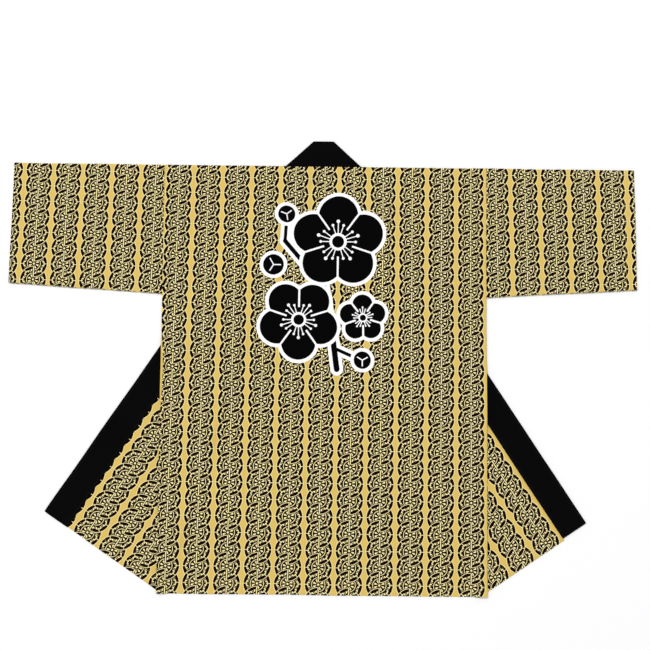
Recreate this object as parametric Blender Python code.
"""Happi coat, laid out flat on a surface with its back up and both fronts folded outwards.

Frame: metres, +X towards the wearer's right, +Y from the hem towards the collar, +Z up.
The coat lies on z = 0. Plans below are drawn from the middle of the shoulder line, and one
empty carries every piece from there to the middle of the coat's own box.

The body is one length of cloth. From the back's hem it runs up to the shoulder line, turns
under there, and comes down again as the two fronts. Each front is folded once more, along a
line from its hem to the neck, so that its outer part lies face up on the surface and shows
beside the back as a wing. The band runs along both wings and behind the neck.
"""

from collections import namedtuple
from math import cos, pi, radians, sin

import bmesh
import bpy
from mathutils import Vector
from mathutils.geometry import delaunay_2d_cdt

# Cloth
CLOTH = 0.0012  # thickness of the printed cotton
BAND = 0.0024  # thickness of the black band, cloth folded round its own seam allowance
LAYER_GAP = 0.0005  # air between two layers that lie on each other
SEAM_GAP = 0.0003  # between pieces that are sewn to each other
DRAPE = 0.014  # width over which a layer comes down from the edge of what it lies on

# Body
BODY_LENGTH = 0.8175  # shoulder line to hem
BAND_WIDTH = 0.0516
COLLAR_RISE = 0.0508  # of the band above the shoulder line, at the back of the neck
COLLAR_TUCK = 0.009  # of the band below the shoulder line, under the back
COLLAR_TOP = (-0.0220, 0.0175)  # the ends of the band's top edge, between its folded corners
WING_ANGLE = radians(33.5)  # of each wing's band to the coat's length

# Sleeves
SPAN = 1.222  # cuff to cuff
UNDERARM_DEPTH = 0.2535
CUFF_DEPTH = 0.2355

# Facets
TURN_STEPS = 5  # of a layer's turn under the next one
DRAPE_STEPS = 3  # of the slope at the edge of a layer that lies below
EDGE_ROUND = 0.0007  # of the band's folded edges
NECK_LEVEL = 0.030  # between the lines across the neck's slopes
NECK_LEVELS = 9
WING_PAST_HEM = 0.030  # how far past its hem a wing holds up the corner of the back
NECK_REACH = 0.060  # how far one side's slopes reach past the middle, at the neck
OVERRUN = 0.001  # of these lines past the cut's own edges, where they are trimmed
MERGE = 0.00002  # of points on the flat cut
PARALLEL = 1e-12  # cross product below which two lines count as parallel

Side = namedtuple(
    "Side",
    "name sign side_at_shoulder side_at_hem neck_corner fold_at_hem wing_width band_short",
)
SIDES = (
    Side("left", -1, 0.3145, 0.3047, 0.0770, 0.2967, 0.2678, 0.0),
    Side("right", 1, 0.3185, 0.3148, 0.0730, 0.3025, 0.2424, 0.0044),
)

TURN_RADIUS = (CLOTH + LAYER_GAP) / 2  # of the middle of the cloth, where it turns under
TURN_LENGTH = pi * TURN_RADIUS  # of cloth used up by a turn
TURN_REACH = TURN_RADIUS + CLOTH / 2  # of a turn past the line where it starts
LAYER_RISE = CLOTH + LAYER_GAP
BAND_RISE = BAND + LAYER_GAP
SHOULDER_Y = (BODY_LENGTH - COLLAR_RISE) / 2


def meet(start_a, along_a, start_b, along_b):
    """Where two straight lines of the plan meet."""
    across = along_a.cross(along_b)
    return start_a + along_a * ((start_b - start_a).cross(along_b) / across)


class Front:
    """The plan of one front: its turned line and its wing, from the middle of the shoulder."""

    def __init__(self, side):
        s = side.sign
        half = WING_ANGLE / 2
        hem = -BODY_LENGTH
        self.side = side
        self.shoulder_end = Vector((s * side.side_at_shoulder, 0))
        self.side_hem = Vector((s * side.side_at_hem, hem))
        self.neck = Vector((s * side.neck_corner, 0))
        self.corner = Vector((s * side.fold_at_hem, hem))  # where hem and turned line meet
        self.up_fold = Vector((-s * sin(half), cos(half)))
        self.inward = Vector((-s * cos(half), -sin(half)))
        self.up_band = Vector((-s * sin(WING_ANGLE), cos(WING_ANGLE)))
        self.along_hem = Vector((s * cos(WING_ANGLE), sin(WING_ANGLE)))
        self.cloth_width = side.wing_width - BAND_WIDTH
        self.band_seam = self.corner + self.along_hem * self.cloth_width
        self.band_start = self.band_seam + self.up_band * side.band_short
        self.tip = self.band_start + self.along_hem * BAND_WIDTH
        self.fold_length = self.cloth_width / sin(half)
        self.fold_clear = self.fold_length - SEAM_GAP / sin(half)  # short of the band
        self.apex = self.corner + self.up_fold * self.fold_length

    def from_fold(self, point):
        """(along the turned line, beyond it towards the middle of the back)"""
        away = point - self.corner
        return away.dot(self.up_fold), away.dot(self.inward)

    def at_fold(self, along, beyond):
        return self.corner + self.up_fold * along + self.inward * beyond

    def outline_on_back(self):
        """The layer that lies right under the back, with its turned edge."""
        reach = self.inward * TURN_REACH
        return [self.shoulder_end, self.neck, self.apex + reach, self.corner + reach, self.side_hem]

    def outline_of_wing(self):
        """The printed part of the layer on the surface, with its turned edge."""
        reach = self.inward * TURN_REACH
        below = self.up_band * -WING_PAST_HEM
        hem = [self.corner + reach + below, self.band_seam + below]
        return [self.band_seam, self.apex, self.apex + reach, self.corner + reach, *hem]


FRONTS = {side.name: Front(side) for side in SIDES}


def collar_outline():
    """The whole band: both its legs, which lie along the wings, and its rise at the neck."""
    left, right = FRONTS["left"], FRONTS["right"]
    points = [meet(left.band_seam, left.up_band, right.band_seam, right.up_band)]
    across = Vector((1, 0))
    for front, top in ((right, COLLAR_TOP[1]), (left, COLLAR_TOP[0])):
        tuck = meet(front.tip, front.up_band, Vector((0, -COLLAR_TUCK)), across)
        leg = [front.band_start, front.tip, tuck, front.neck, Vector((top, COLLAR_RISE))]
        points += leg if front is right else reversed(leg)
    return points


COLLAR_OUTLINE = collar_outline()


def distance_outside(point, outline):
    """How far a point of the plan is outside a closed outline, negative inside it."""
    nearest = float("inf")
    inside = False
    for a, b in zip(outline, outline[1:] + outline[:1]):
        edge = b - a
        share = max(0, min(1, (point - a).dot(edge) / edge.length_squared))
        nearest = min(nearest, (point - a - edge * share).length)
        if (a.y > point.y) != (b.y > point.y):
            if point.x < a.x + edge.x * (point.y - a.y) / edge.y:
                inside = not inside
    return -nearest if inside else nearest


def rise_over(point, outline, height):
    """The height that a layer gains over what lies below it, easing down outside its edge."""
    t = max(0, min(1, distance_outside(point, outline) / DRAPE))
    return height * (1 - t * t * (3 - 2 * t))


def under_fronts(point):
    """The height of the underside of a front, above the wings and the band."""
    over = [rise_over(point, COLLAR_OUTLINE, BAND_RISE)]
    over += [rise_over(point, f.outline_of_wing(), LAYER_RISE) for f in FRONTS.values()]
    return max(over)


def under_back(point):
    """The height of the underside of the back."""
    over = [rise_over(point, f.outline_on_back(), LAYER_RISE) for f in FRONTS.values()]
    return under_fronts(point) + max(over)


def turned(foot, outward, low, high, angle):
    """(middle of the cloth, its upper normal) on a turn from the high layer to the low one."""
    half = (high - low) / 2
    plan = foot + outward * (TURN_RADIUS * sin(angle))
    middle = Vector((plan.x, plan.y, (low + high) / 2 + half * cos(angle)))
    flat = outward * (half * sin(angle))
    return middle, Vector((flat.x, flat.y, TURN_RADIUS * cos(angle))).normalized()


def lay(point):
    """(middle of the cloth, normal of its printed face) for a point of the body's flat cut.

    On the cut the back runs from y = -BODY_LENGTH to 0 and the fronts go on above it.
    """
    up = Vector((0, 0, 1))
    half = CLOTH / 2
    if point.y <= 0:
        return Vector((point.x, point.y, under_back(point) + half)), up
    foot = Vector((point.x, 0))
    if point.y < TURN_LENGTH:
        low = under_fronts(foot) + half
        angle = point.y / TURN_RADIUS
        return turned(foot, Vector((0, 1)), low, low + LAYER_RISE, angle)
    down = Vector((point.x, TURN_LENGTH - point.y))
    front = FRONTS["left" if point.x < 0 else "right"]
    along, beyond = front.from_fold(down)
    if beyond <= 0:
        return Vector((down.x, down.y, under_fronts(down) + half)), -up
    if beyond < TURN_LENGTH:
        foot = front.at_fold(along, 0)
        high = under_fronts(foot) + half
        middle, normal = turned(foot, front.inward, half, high, beyond / TURN_RADIUS)
        return middle, -normal
    wing = front.at_fold(along, TURN_LENGTH - beyond)
    return Vector((wing.x, wing.y, half)), up


def band_lines(front):
    """(point, direction) of the lines along which a layer slopes down beside the band."""
    outside = Vector((front.side.sign * cos(WING_ANGLE), sin(WING_ANGLE)))
    for i in range(DRAPE_STEPS + 1):
        away = outside * (DRAPE * i / DRAPE_STEPS)
        yield front.tip + away, front.up_band
        yield front.band_seam - away, front.up_band


def front_lines(front):
    """(point, direction) of the lines along which the back slopes down beside a front."""
    to_middle = Vector((-front.side.sign, 0))
    neck_edge = (front.apex - front.neck).normalized()
    for i in range(DRAPE_STEPS + 1):
        away = DRAPE * i / DRAPE_STEPS
        yield front.corner + front.inward * (TURN_REACH + away), front.up_fold
        yield front.neck + to_middle * away, neck_edge


def level_lines():
    """(point, direction) of the lines across, close together near the neck."""
    heights = [NECK_LEVEL * i for i in range(1, NECK_LEVELS + 1)]
    heights += [-front.apex.y for front in FRONTS.values()]
    for height in heights:
        yield Vector((0, -height)), Vector((1, 0))


def within(line, outline):
    """The ends of the stretch of a line that lies within a convex outline, or None."""
    start, direction = line
    first, last = -float("inf"), float("inf")
    middle = sum(outline, Vector((0, 0))) / len(outline)
    for a, b in zip(outline, outline[1:] + outline[:1]):
        inwards = Vector((a.y - b.y, b.x - a.x))
        if inwards.dot(middle - a) < 0:
            inwards.negate()
        speed, room = inwards.dot(direction), inwards.dot(start - a)
        if abs(speed) < PARALLEL:
            if room < 0:
                return None
        elif speed > 0:
            first = max(first, -room / speed)
        else:
            last = min(last, -room / speed)
    return (start + direction * first, start + direction * last) if last > first else None


def mirrored(points):
    """Points of a front's plan, taken back to the body's flat cut."""
    return [Vector((p.x, TURN_LENGTH - p.y)) for p in points]


def front_on_cut(front):
    """The outline of one front on the flat cut, from the shoulder line round to it again."""
    seam_end = front.corner + front.along_hem * (front.cloth_width - SEAM_GAP)
    along, beyond = front.from_fold(seam_end)
    plan = [
        front.neck,
        front.at_fold(front.fold_clear, 0),
        front.at_fold(front.fold_clear, TURN_LENGTH),
        front.at_fold(along, TURN_LENGTH - beyond),
        front.at_fold(0, TURN_LENGTH),
        front.corner,
        front.side_hem,
    ]
    return [front.shoulder_end, front.neck, *mirrored(plan)]


def shoulder_turn(front):
    """The lines of the flat cut along and across the turn at the shoulder."""
    ends = front.shoulder_end, front.neck
    lines = []
    for i in range(TURN_STEPS + 1):
        away = Vector((0, TURN_LENGTH * i / TURN_STEPS))
        lines.append([end + away for end in ends])
    for start, direction in band_lines(front):
        cross = meet(start, direction, Vector((0, 0)), Vector((1, 0)))
        if abs(ends[1].x) < abs(cross.x) < abs(ends[0].x):
            lines.append([cross, cross + Vector((0, TURN_LENGTH))])
    return lines


def fold_turn(front):
    """The lines of the flat cut along and across a front's own turn."""
    end = front.fold_clear
    lines = []
    for i in range(TURN_STEPS + 1):
        beyond = TURN_LENGTH * i / TURN_STEPS
        lines.append(mirrored([front.at_fold(0, beyond), front.at_fold(end, beyond)]))
    for start, direction in band_lines(front):
        along = front.from_fold(meet(start, direction, front.corner, front.up_fold))[0]
        if 0 < along < end:
            lines.append(mirrored([front.at_fold(along, 0), front.at_fold(along, TURN_LENGTH)]))
    return lines


def body_cut():
    """The body's cut, flat, in triangles whose edges follow the lines along which it bends."""
    left, right = FRONTS["left"], FRONTS["right"]
    back = [left.side_hem, right.side_hem, right.shoulder_end, left.shoulder_end]
    outlines = [back, front_on_cut(left), front_on_cut(right)]
    stretches = []
    for front in FRONTS.values():
        s = front.side.sign
        past_hem = front.side_hem + Vector((s * OVERRUN, -OVERRUN))
        past_shoulder = front.shoulder_end + Vector((s * OVERRUN, 0))
        past_neck = Vector((-s * NECK_REACH, 0))
        half_back = [past_hem, past_neck - Vector((0, BODY_LENGTH + OVERRUN)), past_neck]
        half_back.append(past_shoulder)
        lines = [*band_lines(front), *front_lines(front), *level_lines()]
        stretches += [within(line, half_back) for line in lines]
        past_fold = front.corner - front.up_fold * OVERRUN
        flat_front = [past_shoulder, front.neck, front.apex, past_fold, past_hem]
        lines = [*band_lines(front), *level_lines()]
        stretches += [mirrored(s) for s in (within(line, flat_front) for line in lines) if s]
        stretches += shoulder_turn(front) + fold_turn(front)
    points, edges = [], []
    for outline in outlines:
        count = len(outline)
        edges += [(len(points) + i, len(points) + (i + 1) % count) for i in range(count)]
        points += outline
    for stretch in filter(None, stretches):
        edges.append((len(points), len(points) + 1))
        points += stretch
    points, _, faces, *_ = delaunay_2d_cdt(points, edges, [], 0, MERGE)
    cut = bmesh.new()
    corners = [cut.verts.new(p.to_3d()) for p in points]
    for face in faces:
        middle = sum((points[i] for i in face), Vector((0, 0))) / 3
        if any(distance_outside(middle, outline) < 0 for outline in outlines):
            cut.faces.new([corners[i] for i in face])
    bmesh.ops.remove_doubles(cut, verts=cut.verts, dist=MERGE)
    bmesh.ops.dissolve_degenerate(cut, edges=cut.edges, dist=MERGE)
    bmesh.ops.triangulate(cut, faces=cut.faces)
    bmesh.ops.delete(cut, geom=[v for v in cut.verts if not v.link_faces], context="VERTS")
    return cut


def body_mesh():
    """The body's wall: both faces of the laid cloth, and its rim."""
    flat = body_cut()
    bm = bmesh.new()
    faces = {}
    for vert in flat.verts:
        middle, normal = lay(vert.co.to_2d())
        offset = normal * (CLOTH / 2)
        faces[vert] = (bm.verts.new(middle + offset), bm.verts.new(middle - offset))
    for face in flat.faces:
        bm.faces.new([faces[v][0] for v in face.verts])
        bm.faces.new([faces[v][1] for v in reversed(face.verts)])
    for edge in flat.edges:
        if edge.is_boundary:
            a, b = edge.link_loops[0].vert, edge.link_loops[0].link_loop_next.vert
            bm.faces.new([faces[b][0], faces[a][0], faces[a][1], faces[b][1]])
    flat.free()
    bmesh.ops.triangulate(bm, faces=[f for f in bm.faces if len(f.verts) > 3])
    return bm


def sleeve_section(depth):
    """(y, z, outward y, outward z) round the middle of the cloth of a flattened sleeve."""
    low = CLOTH / 2
    centre = low + TURN_RADIUS
    section = []
    for y, first in ((0, pi / 2), (-depth, 3 * pi / 2)):
        for i in range(TURN_STEPS + 1):
            angle = first - pi * i / TURN_STEPS
            out_y, out_z = cos(angle), sin(angle)
            section.append((y + TURN_RADIUS * out_y, centre + TURN_RADIUS * out_z, out_y, out_z))
    return section


def sleeve_mesh(front):
    """A flattened tube: one piece folded along its top and sewn along the underarm."""
    s = front.side.sign
    bm = bmesh.new()
    rings = []
    side_slope = (abs(front.side_hem.x) - abs(front.shoulder_end.x)) / BODY_LENGTH
    for depth, at_cuff in ((UNDERARM_DEPTH, False), (CUFF_DEPTH, True)):
        outer, inner = [], []
        for y, z, out_y, out_z in sleeve_section(depth):
            armhole = front.side.side_at_shoulder - side_slope * y + SEAM_GAP
            x = s * (SPAN / 2 if at_cuff else armhole)
            for ring, reach in ((outer, CLOTH / 2), (inner, -CLOTH / 2)):
                ring.append(bm.verts.new((x, y + out_y * reach, z + out_z * reach)))
        rings.append((outer, inner))
    (outer_a, inner_a), (outer_b, inner_b) = rings
    count = len(outer_a)
    for i in range(count):
        j = (i + 1) % count
        bm.faces.new([outer_a[i], outer_a[j], outer_b[j], outer_b[i]])
        bm.faces.new([inner_a[j], inner_a[i], inner_b[i], inner_b[j]])
        bm.faces.new([outer_a[j], outer_a[i], inner_a[i], inner_a[j]])
        bm.faces.new([outer_b[i], outer_b[j], inner_b[j], inner_b[i]])
    bmesh.ops.recalc_face_normals(bm, faces=bm.faces)
    bmesh.ops.triangulate(bm, faces=bm.faces)
    return bm


def collar_mesh():
    """The band as one flat piece, its folded edges rounded."""
    bm = bmesh.new()
    bottom = bm.faces.new([bm.verts.new(p.to_3d()) for p in COLLAR_OUTLINE])
    bm.normal_update()
    if bottom.normal.z > 0:
        bottom.normal_flip()
    grown = bmesh.ops.extrude_face_region(bm, geom=[bottom], use_keep_orig=True)
    top = [g for g in grown["geom"] if isinstance(g, bmesh.types.BMVert)]
    bmesh.ops.translate(bm, verts=top, vec=(0, 0, BAND))
    bmesh.ops.recalc_face_normals(bm, faces=bm.faces)
    edges = [e for e in bm.edges if all(v.co.z > BAND / 2 for v in e.verts)]
    bmesh.ops.bevel(bm, geom=edges, offset=EDGE_ROUND, segments=2, affect="EDGES")
    bmesh.ops.triangulate(bm, faces=bm.faces)
    return bm


def cotton(name, colour):
    material = bpy.data.materials.new(name)
    material.use_nodes = True
    shader = material.node_tree.nodes["Principled BSDF"]
    shader.inputs["Base Color"].default_value = (*colour, 1)
    shader.inputs["Roughness"].default_value = 0.9
    shader.inputs["Metallic"].default_value = 0.0
    return material


def add_piece(name, bm, material, coat):
    mesh = bpy.data.meshes.new(name)
    bm.to_mesh(mesh)
    bm.free()
    mesh.materials.append(material)
    piece = bpy.data.objects.new(name, mesh)
    bpy.context.scene.collection.objects.link(piece)
    piece.parent = coat
    return piece


def main():
    for old in list(bpy.data.objects):
        bpy.data.objects.remove(old, do_unlink=True)
    coat = bpy.data.objects.new("coat", None)
    coat.location = (0, SHOULDER_Y, 0)
    bpy.context.scene.collection.objects.link(coat)
    gold, black = (0.56, 0.40, 0.12), (0.006, 0.006, 0.007)
    add_piece("body", body_mesh(), cotton("body_cotton", gold), coat)
    for front in FRONTS.values():
        name = f"sleeve_{front.side.name}"
        add_piece(name, sleeve_mesh(front), cotton(f"{name}_cotton", gold), coat)
    add_piece("collar", collar_mesh(), cotton("collar_cotton", black), coat)


main()
